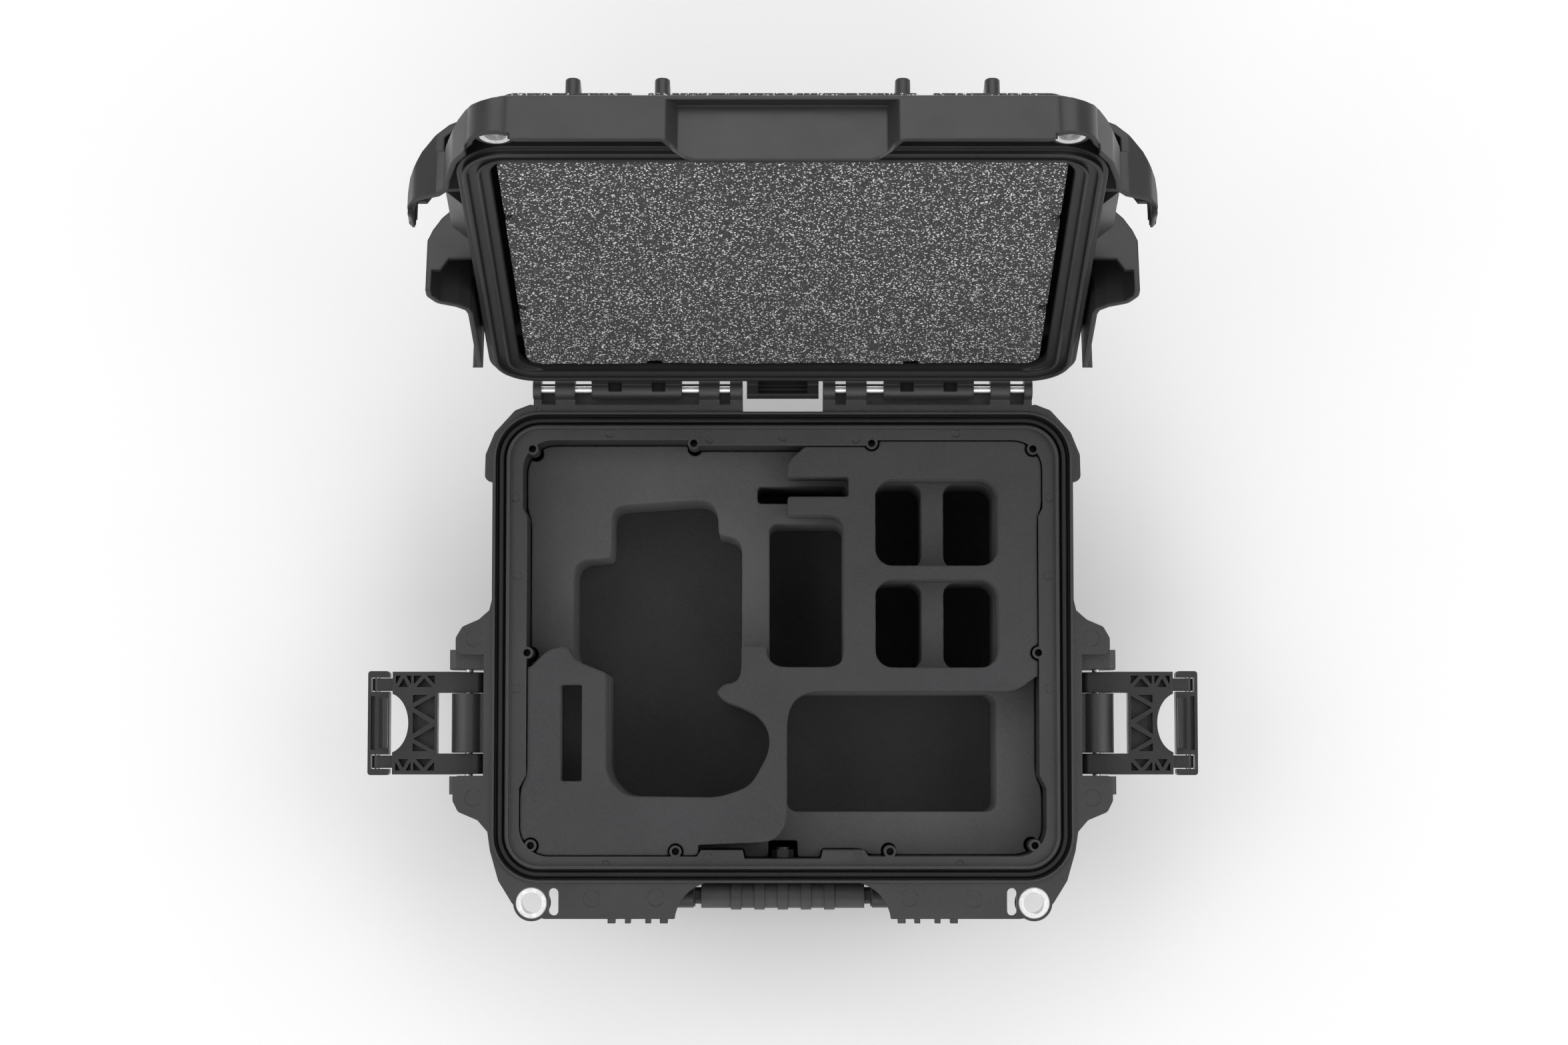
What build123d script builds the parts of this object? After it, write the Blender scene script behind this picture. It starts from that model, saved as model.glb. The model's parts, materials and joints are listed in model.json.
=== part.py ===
from build123d import *
from math import hypot, radians, tan
import os

os.makedirs("parts", exist_ok=True)

# Frame: origin at the centre of the underside, +Z up, +Y towards the hinge, the handle on -Y.
# The lid is drawn closed, in the same frame, and then swung open about the hinge.

# ---- overall sizes, mm ----
RIM = 108.0  # height of the parting plane
RIM_X, RIM_Y, RIM_R = 137.5, 111.5, 22.5  # half sizes and corner radius of the rim
COLLAR_H = 12.0
BODY_X, BODY_Y, BODY_R = 129.0, 103.5, 17.0
BODY_DRAFT = 1.2
FLOOR_T = 5.0
FOOT_R = 6.0
WALL = 3.2
GAP = 0.4  # between parts that move past each other

# ---- flange ----
FLANGE_TOP = RIM - 1.5
FLANGE_T = 5.0
FLANGE_LOW = FLANGE_TOP - FLANGE_T
FLANGE_ROUND = 3.0  # radius of its corners in plan
FLANGE_HALF = [
    (0, -128.4), (112, -128.4), (122, -126.5), (127.5, -121), (134, -110.5), (138, -96.5),
    (139.3, -87.5), (144, -82.1), (153.2, -78.2), (155.8, -73), (155.8, -61.1), (141.5, -61.1),
    (141.5, -4), (154.8, -4), (154.8, 4), (151.7, 9.3), (144, 12.6), (139, 17), (137.8, 22),
    (137.8, 78), (141.5, 79), (141.2, 91), (136.9, 101.6), (127.3, 112.2), (117.5, 116),
    (116.6, 111.5), (0, 111.5),
]

# ---- groove, bezel and cavity ----
GROOVE_OUT, GROOVE_IN, GROOVE_DEPTH = 1.3, 6.5, 6.0  # in from the rim's outside
CORD_R = 1.8
BEZEL_DROP, BEZEL_IN = 3.0, 8.2
CAVITY_R = 14.0
CAVITY_HALF = [
    (0, -100.2), (18, -100.2), (19, -96.1), (38.5, -96.1), (40.5, -99.1), (124.5, -99.1), (124.5, -67),
    (121.3, -61), (121.3, 62), (123.4, 66), (123.4, 98.1), (43, 98.1), (41, 95.5), (0, 95.5),
]
BOSS_R, BOSS_HOLE_R, BOSS_H, BOSS_HOLE_DEPTH = 2.9, 1.7, 16.0, 11.0
BOSS_X, BOSS_Y = 119.0, 94.0
BOSS_MID = [(42.3, 96.7), (121.1, -3.0), (50.6, -96.8)]
BEZEL_MARKS = [
    (82.3, 101.6), (34.8, 98.8), (125.6, 33.6), (126.9, 70.8), (126.2, -20), (83.4, -103.1), (35.4, -99.5),
]
FLANGE_MARKS = [(90, -119), (59.7, -118.5), (146, 3.8), (146, -71.6)]
MARK_DEPTH = 0.3

# ---- hinge ----
HINGE_Y = 122.0
KNUCKLE_R, PIN_R, PIN_FIT = 4.6, 1.6, 0.04
HINGE_IN, HINGE_OUT = 19.1, 116.6
LID_KNUCKLE = (47.4, 91.0)
BASE_KNUCKLES = [(19.1, 25.0), (30.0, 39.8), (98.6, 108.0), (114.6, 118.5)]
KNUCKLE_NOTCHES, NOTCH_W = [58.9, 79.5], 6.3
LID_OPEN = 109.0

# ---- latches ----
PIVOT_X, PIVOT_Z = 150.0, RIM - 22.0
LATCH_MID, LATCH_W = -36.0, 49.0
LATCH_LOW, LATCH_HIGH = PIVOT_Z - 5.5, PIVOT_Z + 3.0
LUGS = [(-10.6, -1.3), (-70.0, -61.4)]
LATCH_PIN_R = 2.0
BARREL_R, BARREL_W, WINDOW_END = 8.3, 28.2, 165.0
PANEL_NEAR, PANEL_FAR = 166.2, 176.6  # ribbed panel of the lever
RAIL_NEAR, RAIL_FAR = 17.2, 22.6  # pocketed rails, from the middle of the lever
RIB_GAP = 1.3
CLAW_START, LATCH_END = 187.9, 198.1
CLAW_PIN_X, CLAW_PIN_Z, CLAW_PIN_R = 193.9, PIVOT_Z - 1.0, 1.2
HOOK_X, HOOK_T, HOOK_W, HOOK_H = 188.2, 3.6, 24.0, 9.0

# ---- handle ----
HANDLE_Y, HANDLE_Z = -119.0, RIM - 22.0
HANDLE_DROP = 34.0
ARM_IN, ARM_OUT = 42.5, 51.5
GRIP_L, GRIP_Y, GRIP_Z, BAR = 79.0, 13.6, 17.0, 8.0
GRIP_BAND, GRIP_PITCH = 5.0, 11.3
HANDLE_PIN_R = 2.2
BUMPERS = [(54.5, 58.1), (62.4, 65.0), (72.0, 74.6), (79.3, 82.8)]

# ---- padlock holes ----
PADLOCK = (118.3, -120.9)
LUG_R, RING_R, TUBE_R, PADLOCK_R = 8.6, 7.4, 5.6, 4.75
LUG_H, RING_T = 9.0, 0.9

# ---- lid ----
LID_X, LID_Y = 137.0, 111.0
LID_SEAM, LID_LIP, LID_ROOF, LID_TOP = 0.3, 4.2, 36.0, 44.0
LID_BEVELS = [(12.0, 22.0, 15), (22.0, 31.0, 40), (31.0, LID_ROOF, 60)]  # from and to heights, and the slope
SKIRT_LOW, SIDE_SKIRT_LOW, CHEEK_LOW = -7.5, -10.0, -11.0
SKIRT_GAP, SKIRT_T = 0.8, 2.4
BROW, BRIM_BACK = 12.5, 77.5  # top of the upright front band, and the brim's hinge end
FRONT, RECESS_Y, APRON_BACK = 131.6, -126.2, -123.8
BAY, EAR_FRONT, EAR_BACK = (-61.7, -1.0), -84.5, 18.0
# side elevations, heights from the rim: along the corner, over the two ears and along the strip behind them
BROW_SLOPE, FRONT_LIMIT = 0.58, -145.0
CORNER = [(108, 40.6), (113, 40), (119, 39.2), (124, 37.6), (128, 35.8), (131, 33.2), (134.5, 28.6), (137, 23.6), (142.5, 13)]
FRONT_EAR = [(116, 36), (126.8, 31), (137, 28), (141.3, 26), (147.5, 20.5), (152.7, 14.5), (158, 5), (159.6, -6)]
REAR_EAR = [(116, 36), (126.8, 33), (137, 33), (146.5, 31.5), (152, 26), (155.8, 20), (158.3, 14), (159.6, 0)]
SIDE_STRIP = [(116, 36), (126.8, 31), (134.3, 22), (138, 18), (143, 6)]
LEDGE_TOP, LEDGE_T, LEDGE_X = 15.8, 4.0, 145.3
LOCK_ARCH, LOCK_LOW, LOCK_TOP, LOCK_TUBE_R, LOCK_BORE_R = -4.6, 1.2, 4.8, 9.6, 7.8  # padlock lugs in the lid
APRON_LOW = -14.0

# ---- foam ----
SHEET_TOP = 24.0
MID_TOP = RIM - 28.0
TOP_TOP = RIM - 4.0
FOAM_GAP = 0.4
LID_FOAM = (240.0, 198.0)

# ---- pressure valve ----
VALVE_Z = RIM - 24.0


def both_sides(points):
    """The points and their mirror images across the middle of the case."""
    return points + [(-x, y) for x, y in points]


def mirrored_face(half):
    """A face from its right half, an outline that starts and ends on the Y axis."""
    with BuildSketch() as face:
        with BuildLine():
            Polyline(*half, close=True)
        make_face()
        mirror(about=Plane.YZ)
    return face.sketch


def flange_outline(grow=0.0):
    """Plan of the flange, grown outwards by an amount."""
    with BuildSketch() as plan:
        add(mirrored_face(FLANGE_HALF))
        offset(amount=-FLANGE_ROUND, kind=Kind.INTERSECTION, mode=Mode.REPLACE)
        offset(amount=FLANGE_ROUND + grow, kind=Kind.ARC, mode=Mode.REPLACE)
    return plan.sketch


def rim_ring(outer, inner):
    """Plan of a band that follows the rim, between two distances in from its outside."""
    RectangleRounded(2 * (RIM_X - outer), 2 * (RIM_Y - outer), RIM_R - outer)
    RectangleRounded(2 * (RIM_X - inner), 2 * (RIM_Y - inner), RIM_R - inner, mode=Mode.SUBTRACT)


def cavity_outline(inset=0.0):
    """Plan of the foam cavity inside the bezel, drawn smaller by an inset."""
    with BuildSketch() as plan:
        add(mirrored_face(CAVITY_HALF))
        wide = plan.vertices().filter_by(lambda v: abs(v.X) > 123 and abs(v.Y) > 98)
        fillet(wide, CAVITY_R)
        if inset:
            offset(amount=-inset, kind=Kind.INTERSECTION, mode=Mode.REPLACE)
    return plan.sketch


def finish(part, name):
    part.label = name
    export_step(part, f"parts/{name}.step")


def swing_open(part):
    """Move a piece of the lid from closed to its open stop."""
    return part.rotate(Axis((0, HINGE_Y, RIM), (1, 0, 0)), -LID_OPEN)


# ================= profiles that are used more than once =================
# side view of a bumper rib beside the handle; the first pair carries the handle pins
with BuildSketch(Plane.YZ) as bumper_profile:
    with BuildLine():
        Polyline((-100, RIM - 6), (-128, RIM - 6), (-128, RIM - 8.5), (-130.8, RIM - 9.5), (-130.8, RIM - 17),
                 (-126.5, RIM - 29), (-114, RIM - 44), (-103, RIM - 52), (-100, RIM - 52), close=True)
    make_face()

# front view of the lugs that hold the latch pins
with BuildSketch(Plane.XZ) as lug_profile:
    with BuildLine():
        Polyline((126, FLANGE_LOW), (155.1, FLANGE_LOW), (155.1, RIM - 12.2), (158.5, RIM - 13.5),
                 (158.5, PIVOT_Z - 3), (154, PIVOT_Z - 8.5), (146, PIVOT_Z - 8.5), (126, PIVOT_Z - 28), close=True)
    make_face()
    mirror(about=Plane.YZ)

# front view of the barrel on each side that fills the window of the lever
with BuildSketch(Plane.XZ) as barrel_profile:
    with Locations((PIVOT_X, PIVOT_Z), (-PIVOT_X, PIVOT_Z)):
        Circle(BARREL_R)
    with BuildLine():
        Polyline((126, PIVOT_Z + 6), (PIVOT_X - 2, PIVOT_Z + 6), (PIVOT_X, PIVOT_Z - BARREL_R),
                 (146, PIVOT_Z - BARREL_R), (126, PIVOT_Z - 28), close=True)
    make_face()
    mirror(about=Plane.YZ)

# stiffening ribs under the collar
with BuildSketch(Plane.XZ) as side_rib:
    with BuildLine():
        Polyline((126, RIM - 8), (137.2, RIM - 8), (137.2, RIM - 16), (126, RIM - 44), close=True)
    make_face()
    mirror(about=Plane.YZ)

with BuildSketch(Plane.YZ) as back_rib:
    with BuildLine():
        Polyline((100, RIM - 8), (111.2, RIM - 8), (111.2, RIM - 18), (100, RIM - 46), close=True)
    make_face()

# side views of the hinge blocks and knuckles
with BuildSketch(Plane.YZ) as block_profile:
    with BuildLine():
        Polyline((108, FLANGE_TOP), (115.2, FLANGE_TOP), (115.2, RIM - 7), (125.4, RIM - 7), (125.4, RIM - 11),
                 (111, RIM - 27), (100, RIM - 27), (100, RIM - 12), (108, RIM - 10), close=True)
    make_face()

with BuildSketch(Plane.YZ) as knuckle_profile:
    with Locations((HINGE_Y, RIM)):
        Circle(KNUCKLE_R)
    with Locations((HINGE_Y, RIM - 4)):
        Rectangle(2 * KNUCKLE_R, 8)
    with Locations((115.5, RIM - 5)):
        Rectangle(4, 7)

with BuildSketch(Plane.YZ) as lid_knuckle:
    with Locations((HINGE_Y, RIM)):
        Circle(KNUCKLE_R)
    with BuildLine():
        Polyline((109, RIM + GAP), (HINGE_Y, RIM + GAP), (HINGE_Y + 2, RIM + 4), (118, RIM + 8), (109, RIM + 15),
                 close=True)
    make_face()


# ================= base shell =================
with BuildPart() as base_shell:
    with BuildSketch(Plane.XY.offset(RIM - COLLAR_H)):
        RectangleRounded(2 * BODY_X, 2 * BODY_Y, BODY_R)
    extrude(amount=-(RIM - COLLAR_H), taper=BODY_DRAFT)
    fillet(base_shell.faces().sort_by(Axis.Z)[0].edges(), FOOT_R)
    with BuildSketch(Plane.XY.offset(RIM - COLLAR_H)):
        RectangleRounded(2 * RIM_X, 2 * RIM_Y, RIM_R)
    extrude(amount=COLLAR_H)

    # flange with its ears, padlock lugs and slots, and the bay over the handle
    with BuildSketch(Plane.XY.offset(FLANGE_LOW)):
        add(flange_outline())
    extrude(amount=FLANGE_T)
    with BuildSketch(Plane.XY.offset(FLANGE_TOP - LUG_H)):
        with Locations(*both_sides([PADLOCK])):
            Circle(LUG_R)
    extrude(amount=LUG_H)
    with BuildSketch(Plane.XY.offset(RIM + 1)):
        with BuildLine():
            Polyline((-36, -111.5), (36, -111.5))
            TangentArc((36, -111.5), (51, -128.6), tangent=(1, -0.25))
            Polyline((51, -128.6), (51, -140), (-51, -140), (-51, -128.6))
            TangentArc((-36, -111.5), (-51, -128.6), tangent=(-1, -0.25))
        make_face()
        with Locations(*both_sides([(107.9, -120.4)])):
            SlotOverall(12.9, 4.6, rotation=90)
    extrude(amount=-(1.5 + FLANGE_T + 4), mode=Mode.SUBTRACT)

    # vertical bumper ribs each side of the handle, the first of them carrying its pins
    for near, far in BUMPERS:
        extrude(bumper_profile.sketch.moved(Location((near, 0, 0))), amount=far - near)
        extrude(bumper_profile.sketch.moved(Location((-far, 0, 0))), amount=far - near)

    for front, back in LUGS:
        extrude(lug_profile.sketch.moved(Location((0, back, 0))), amount=back - front)
    extrude(barrel_profile.sketch.moved(Location((0, LATCH_MID + BARREL_W / 2, 0))), amount=BARREL_W)

    # stiffening ribs under the collar at the sides and the back
    for middle in (32, 50, 68, -86):
        extrude(side_rib.sketch.moved(Location((0, middle + 1.4, 0))), amount=2.8)
    for middle in (-104, -69, -34, 0, 34, 69, 104):
        extrude(back_rib.sketch.moved(Location((middle - 1.4, 0, 0))), amount=2.8)

    # hinge blocks
    for side in (1, -1):
        block_at = HINGE_IN if side > 0 else -HINGE_OUT
        extrude(block_profile.sketch.moved(Location((block_at, 0, 0))), amount=HINGE_OUT - HINGE_IN)
        for near, far in BASE_KNUCKLES:
            knuckle_at = near if side > 0 else -far
            extrude(knuckle_profile.sketch.moved(Location((knuckle_at, 0, 0))), amount=far - near)

    # gasket groove, bezel ledge and cavity
    with BuildSketch(Plane.XY.offset(RIM)):
        rim_ring(GROOVE_OUT, GROOVE_IN)
    extrude(amount=-GROOVE_DEPTH, mode=Mode.SUBTRACT)
    with BuildSketch(Plane.XY.offset(RIM)):
        RectangleRounded(2 * (RIM_X - BEZEL_IN), 2 * (RIM_Y - BEZEL_IN), RIM_R - BEZEL_IN)
    extrude(amount=-BEZEL_DROP, mode=Mode.SUBTRACT)
    with BuildSketch(Plane.XY.offset(RIM)):
        rim_ring(GROOVE_IN - 0.01, BEZEL_IN + 0.01)
    extrude(amount=-0.6, mode=Mode.SUBTRACT)
    with BuildSketch(Plane.XY.offset(RIM)):
        add(cavity_outline())
    extrude(amount=-(RIM - FLOOR_T), mode=Mode.SUBTRACT)

    # screw bosses on the ledge, and moulding marks
    bosses = both_sides([(BOSS_X, BOSS_Y), (BOSS_X, -BOSS_Y)] + BOSS_MID)
    with BuildSketch(Plane.XY.offset(RIM - BEZEL_DROP)):
        with Locations(*bosses):
            Circle(BOSS_R)
    extrude(amount=-BOSS_H)
    with Locations(*[(x, y, RIM - BEZEL_DROP) for x, y in bosses]):
        Hole(BOSS_HOLE_R, BOSS_HOLE_DEPTH)
    with BuildSketch(Plane.XY.offset(RIM - BEZEL_DROP)):
        with Locations(*both_sides(BEZEL_MARKS)):
            Circle(2.1)
        with Locations((0, 99.8)):
            Circle(2.1)
    extrude(amount=-MARK_DEPTH, mode=Mode.SUBTRACT)
    with BuildSketch(Plane.XY.offset(FLANGE_TOP)):
        with Locations(*both_sides(FLANGE_MARKS)):
            Circle(4)
    extrude(amount=-MARK_DEPTH, mode=Mode.SUBTRACT)

    # bores for the padlock eyelets, hinge, latch and handle pins, and the valve
    with Locations(*[(x, y, FLANGE_TOP) for x, y in both_sides([PADLOCK])]):
        Hole(TUBE_R + 0.05, 20)
    with BuildSketch(Plane.YZ.offset(24)):
        with Locations((HINGE_Y, RIM)):
            Circle(PIN_R + PIN_FIT)
    extrude(amount=92.6, mode=Mode.SUBTRACT)
    with BuildSketch(Plane.YZ.offset(-24)):
        with Locations((HINGE_Y, RIM)):
            Circle(PIN_R + PIN_FIT)
    extrude(amount=-92.6, mode=Mode.SUBTRACT)
    with BuildSketch(Plane.XZ.offset(-LUGS[0][0] - 6)):
        with Locations((PIVOT_X, PIVOT_Z), (-PIVOT_X, PIVOT_Z)):
            Circle(LATCH_PIN_R + PIN_FIT)
    extrude(amount=62, mode=Mode.SUBTRACT)
    with BuildSketch(Plane.YZ):
        with Locations((HANDLE_Y, HANDLE_Z)):
            Circle(HANDLE_PIN_R + PIN_FIT)
    extrude(amount=BUMPERS[0][1] + 1, both=True, mode=Mode.SUBTRACT)
    with BuildSketch(Plane.XZ.offset(90)):
        with Locations((0, VALVE_Z)):
            Circle(3.1)
    extrude(amount=20, mode=Mode.SUBTRACT)
finish(base_shell.part, "base_shell")


# ================= sealing cord in the groove =================
cord_in = (GROOVE_OUT + GROOVE_IN) / 2
cord_z = RIM - GROOVE_DEPTH + CORD_R + 0.05
with BuildSketch(Plane.XY.offset(cord_z)) as cord_path:
    RectangleRounded(2 * (RIM_X - cord_in), 2 * (RIM_Y - cord_in), RIM_R - cord_in)
with BuildPart() as gasket:
    with BuildSketch(Plane.XZ):
        with Locations((RIM_X - cord_in, cord_z)):
            Circle(CORD_R)
    sweep(path=cord_path.sketch.face().outer_wire())
finish(gasket.part, "gasket")


# ================= padlock eyelets and pins =================
def eyelet(depth):
    """Flanged tube that lines a padlock hole through a plate of some depth, its top at z = 0."""
    with BuildPart() as bush:
        with BuildSketch(Plane.XZ):
            with BuildLine():
                Polyline((PADLOCK_R, -depth - RING_T), (RING_R - 0.4, -depth - RING_T), (RING_R, -depth - 0.02),
                         (TUBE_R, -depth - 0.02), (TUBE_R, 0.02), (RING_R, 0.02), (RING_R - 0.5, RING_T),
                         (PADLOCK_R + 0.6, RING_T), (PADLOCK_R, 0.4), close=True)
            make_face()
        revolve(axis=Axis.Z)
    return bush.part


for side, name in ((1, "right"), (-1, "left")):
    finish(eyelet(LUG_H).moved(Location((side * PADLOCK[0], PADLOCK[1], FLANGE_TOP))), f"padlock_eyelet_{name}")
    in_lid = Location((side * PADLOCK[0], PADLOCK[1], RIM + LOCK_TOP))
    finish(swing_open(eyelet(LOCK_TOP - LOCK_LOW).moved(in_lid)), f"lid_eyelet_{name}")

    with BuildPart() as hinge_pin:
        with BuildSketch(Plane.YZ.offset(side * 24.2)):
            with Locations((HINGE_Y, RIM)):
                Circle(PIN_R)
        extrude(amount=side * 92.2)
    finish(hinge_pin.part, f"hinge_pin_{name}")

    with BuildPart() as latch_pin:
        with BuildSketch(Plane.XZ.offset(5.0)):
            with Locations((side * PIVOT_X, PIVOT_Z)):
                Circle(LATCH_PIN_R)
        extrude(amount=61.0)
    finish(latch_pin.part, f"latch_pin_{name}")

    with BuildPart() as handle_pin:
        with BuildSketch(Plane.YZ.offset(side * (ARM_IN + 2))):
            with Locations((HANDLE_Y, HANDLE_Z)):
                Circle(HANDLE_PIN_R)
        extrude(amount=side * (BUMPERS[0][1] - ARM_IN - 1.6))
    finish(handle_pin.part, f"handle_pin_{name}")


# ================= latch levers and claws =================
with BuildPart() as latch_lever:
    rail_end = CLAW_START - 1.5
    with BuildSketch(Plane.XY.offset(LATCH_LOW)):
        with BuildLine():
            Polyline((141.9, LATCH_MID - 24.2), (141.9, LATCH_MID + 24.2), (160, LATCH_MID + 24.5),
                     (rail_end, LATCH_MID + 24.5), (rail_end, LATCH_MID - 24.5), (160, LATCH_MID - 24.5), close=True)
        make_face()
    extrude(amount=LATCH_HIGH - LATCH_LOW)
    # the pivot end is rounded, and split into two barrels round a window
    fillet(edges().filter_by(Axis.Y).sort_by(Axis.X)[0:2], 4.2)
    with BuildSketch(Plane.XY.offset(LATCH_HIGH)):
        with Locations(((141 + WINDOW_END) / 2, LATCH_MID)):
            Rectangle(WINDOW_END - 141, BARREL_W + 0.8)
        with Locations((189, LATCH_MID)):
            Ellipse(10.2, 14.4)
    extrude(amount=-20, mode=Mode.SUBTRACT)
    # triangular pockets that leave a zigzag of ribs on the panel and along the rails
    rail_mid = (PANEL_NEAR + 1.2 + rail_end) / 2
    pockets = [[(PANEL_FAR, 5.2), (PANEL_FAR, -5.2), (PANEL_NEAR + 2.4, 0)]]
    for sign in (1, -1):
        pockets.append([(PANEL_NEAR, sign * 1.6), (PANEL_NEAR, sign * 13), (PANEL_FAR - 0.4, sign * 7.4)])
        pockets.append([(PANEL_FAR, sign * 9.6), (PANEL_FAR, sign * 13.4), (PANEL_NEAR + 3.4, sign * 13.4)])
        for start, end in ((PANEL_NEAR, rail_mid - RIB_GAP / 2), (rail_mid + RIB_GAP / 2, rail_end - 1.6)):
            middle = (start + end) / 2
            near, far = sign * RAIL_NEAR, sign * RAIL_FAR
            pockets.append([(start + RIB_GAP, near), (end - RIB_GAP, near), (middle, far - sign * RIB_GAP)])
            pockets.append([(start, near + sign * RIB_GAP), (start, far), (middle - RIB_GAP, far)])
            pockets.append([(end, near + sign * RIB_GAP), (end, far), (middle + RIB_GAP, far)])
    with BuildSketch(Plane.XY.offset(LATCH_HIGH)):
        for corners in pockets:
            with BuildLine():
                Polyline(*[(x, LATCH_MID + y) for x, y in corners], close=True)
            make_face()
    extrude(amount=-5.6, mode=Mode.SUBTRACT)
    # tongues that carry the claw pin
    for sign in (1, -1):
        with BuildSketch(Plane.XZ.offset(-(LATCH_MID + sign * 18.4 + 3.0))):
            with Locations((CLAW_PIN_X, CLAW_PIN_Z)):
                Circle(2.4)
            with Locations(((rail_end - 1 + CLAW_PIN_X) / 2, CLAW_PIN_Z)):
                Rectangle(CLAW_PIN_X - rail_end + 1, 4.8)
        extrude(amount=6.0)
    with BuildSketch(Plane.XZ.offset(0)):
        with Locations((PIVOT_X, PIVOT_Z)):
            Circle(LATCH_PIN_R + PIN_FIT)
        with Locations((CLAW_PIN_X, CLAW_PIN_Z)):
            Circle(CLAW_PIN_R + PIN_FIT)
    extrude(amount=80, mode=Mode.SUBTRACT)

with BuildPart() as latch_claw:
    with BuildSketch(Plane.XY.offset(LATCH_LOW)):
        with Locations(((CLAW_START + LATCH_END) / 2, LATCH_MID)):
            RectangleRounded(LATCH_END - CLAW_START, LATCH_W + 0.6, 1.4)
    extrude(amount=LATCH_HIGH - LATCH_LOW)
    with BuildSketch(Plane.XY.offset(LATCH_HIGH)):
        with Locations((195.6, LATCH_MID)):
            Rectangle(1.9, 25.6)
    extrude(amount=-3, mode=Mode.SUBTRACT)
    # slots for the lever's tongues
    with BuildSketch(Plane.XY.offset(LATCH_HIGH + 1)):
        for sign in (1, -1):
            with Locations(((CLAW_START - 1 + 196.8) / 2, LATCH_MID + sign * 18.4)):
                Rectangle(196.8 - CLAW_START + 1, 6.8)
    extrude(amount=-20, mode=Mode.SUBTRACT)
    # hook that catches the lid's ledge
    with BuildSketch(Plane.XZ.offset(-(LATCH_MID + HOOK_W / 2))):
        with BuildLine():
            Polyline((HOOK_X, PIVOT_Z), (HOOK_X, PIVOT_Z + HOOK_H - 0.6), (HOOK_X + 0.8, PIVOT_Z + HOOK_H),
                     (HOOK_X + 1.8, PIVOT_Z + HOOK_H), (HOOK_X + HOOK_T + 1.2, LATCH_HIGH),
                     (HOOK_X + HOOK_T + 1.2, PIVOT_Z), close=True)
        make_face()
    extrude(amount=HOOK_W)
    with BuildSketch(Plane.XZ.offset(0)):
        with Locations((CLAW_PIN_X, CLAW_PIN_Z)):
            Circle(CLAW_PIN_R + PIN_FIT)
    extrude(amount=80, mode=Mode.SUBTRACT)

with BuildPart() as claw_pin:
    with BuildSketch(Plane.XZ.offset(-(LATCH_MID + 23.4))):
        with Locations((CLAW_PIN_X, CLAW_PIN_Z)):
            Circle(CLAW_PIN_R)
    extrude(amount=46.8)

for piece, name in ((latch_lever, "latch_lever"), (latch_claw, "latch_claw"), (claw_pin, "claw_pin")):
    finish(piece.part, f"{name}_right")
    finish(piece.part.mirror(Plane.YZ), f"{name}_left")


# ================= carry handle =================
bar_z = HANDLE_Z - HANDLE_DROP
with BuildPart() as handle_bail:
    for side in (1, -1):
        with BuildSketch(Plane.YZ.offset(side * ARM_IN)):
            with Locations((HANDLE_Y, HANDLE_Z)):
                Circle(4.8)
            with Locations((HANDLE_Y, (HANDLE_Z + bar_z) / 2)):
                Rectangle(8.6, HANDLE_DROP)
            with Locations((HANDLE_Y, bar_z)):
                Circle(5.4)
        extrude(amount=side * (ARM_OUT - ARM_IN))
    with BuildSketch(Plane.YZ):
        with Locations((HANDLE_Y, bar_z)):
            RectangleRounded(BAR, BAR + 1, 2)
    extrude(amount=ARM_IN + 1, both=True)
    with BuildSketch(Plane.YZ):
        with Locations((HANDLE_Y, HANDLE_Z)):
            Circle(HANDLE_PIN_R + PIN_FIT)
    extrude(amount=ARM_OUT + 1, both=True, mode=Mode.SUBTRACT)
finish(handle_bail.part, "handle_bail")

with BuildPart() as handle_grip:
    with BuildSketch(Plane.YZ):
        with Locations((HANDLE_Y, bar_z)):
            RectangleRounded(GRIP_Y - 1.6, GRIP_Z - 1.6, 5)
    extrude(amount=GRIP_L / 2, both=True)
    for step in range(-2, 3):
        with BuildSketch(Plane.YZ.offset(step * GRIP_PITCH - GRIP_BAND / 2)):
            with Locations((HANDLE_Y, bar_z)):
                RectangleRounded(GRIP_Y, GRIP_Z, 5.6)
        extrude(amount=GRIP_BAND)
    with BuildSketch(Plane.YZ):
        with Locations((HANDLE_Y, bar_z)):
            RectangleRounded(BAR + 0.1, BAR + 1.1, 2.05)
    extrude(amount=GRIP_L, both=True, mode=Mode.SUBTRACT)
finish(handle_grip.part, "handle_grip")


# ================= pressure valve in the front wall =================
with BuildPart() as pressure_valve:
    with BuildSketch(Plane.XZ.offset(BODY_Y + 0.9)):
        with Locations((0, VALVE_Z)):
            Circle(7)
    extrude(amount=3)
    with BuildSketch(Plane.XZ.offset(95)):
        with Locations((0, VALVE_Z)):
            Circle(3.0)
    extrude(amount=BODY_Y + 1 - 95)
finish(pressure_valve.part, "pressure_valve")

with BuildPart() as valve_seal:
    with BuildSketch(Plane.XZ.offset(BODY_Y + 0.05)):
        with Locations((0, VALVE_Z)):
            Circle(5.6)
            Circle(3.15, mode=Mode.SUBTRACT)
    extrude(amount=0.8)
finish(valve_seal.part, "valve_seal")

with BuildPart() as valve_nut:
    with BuildSketch(Plane.XZ.offset(96.2)):
        with Locations((0, VALVE_Z)):
            RegularPolygon(5.2, 6)
            Circle(3.05, mode=Mode.SUBTRACT)
    extrude(amount=3.8)
finish(valve_nut.part, "valve_nut")


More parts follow.
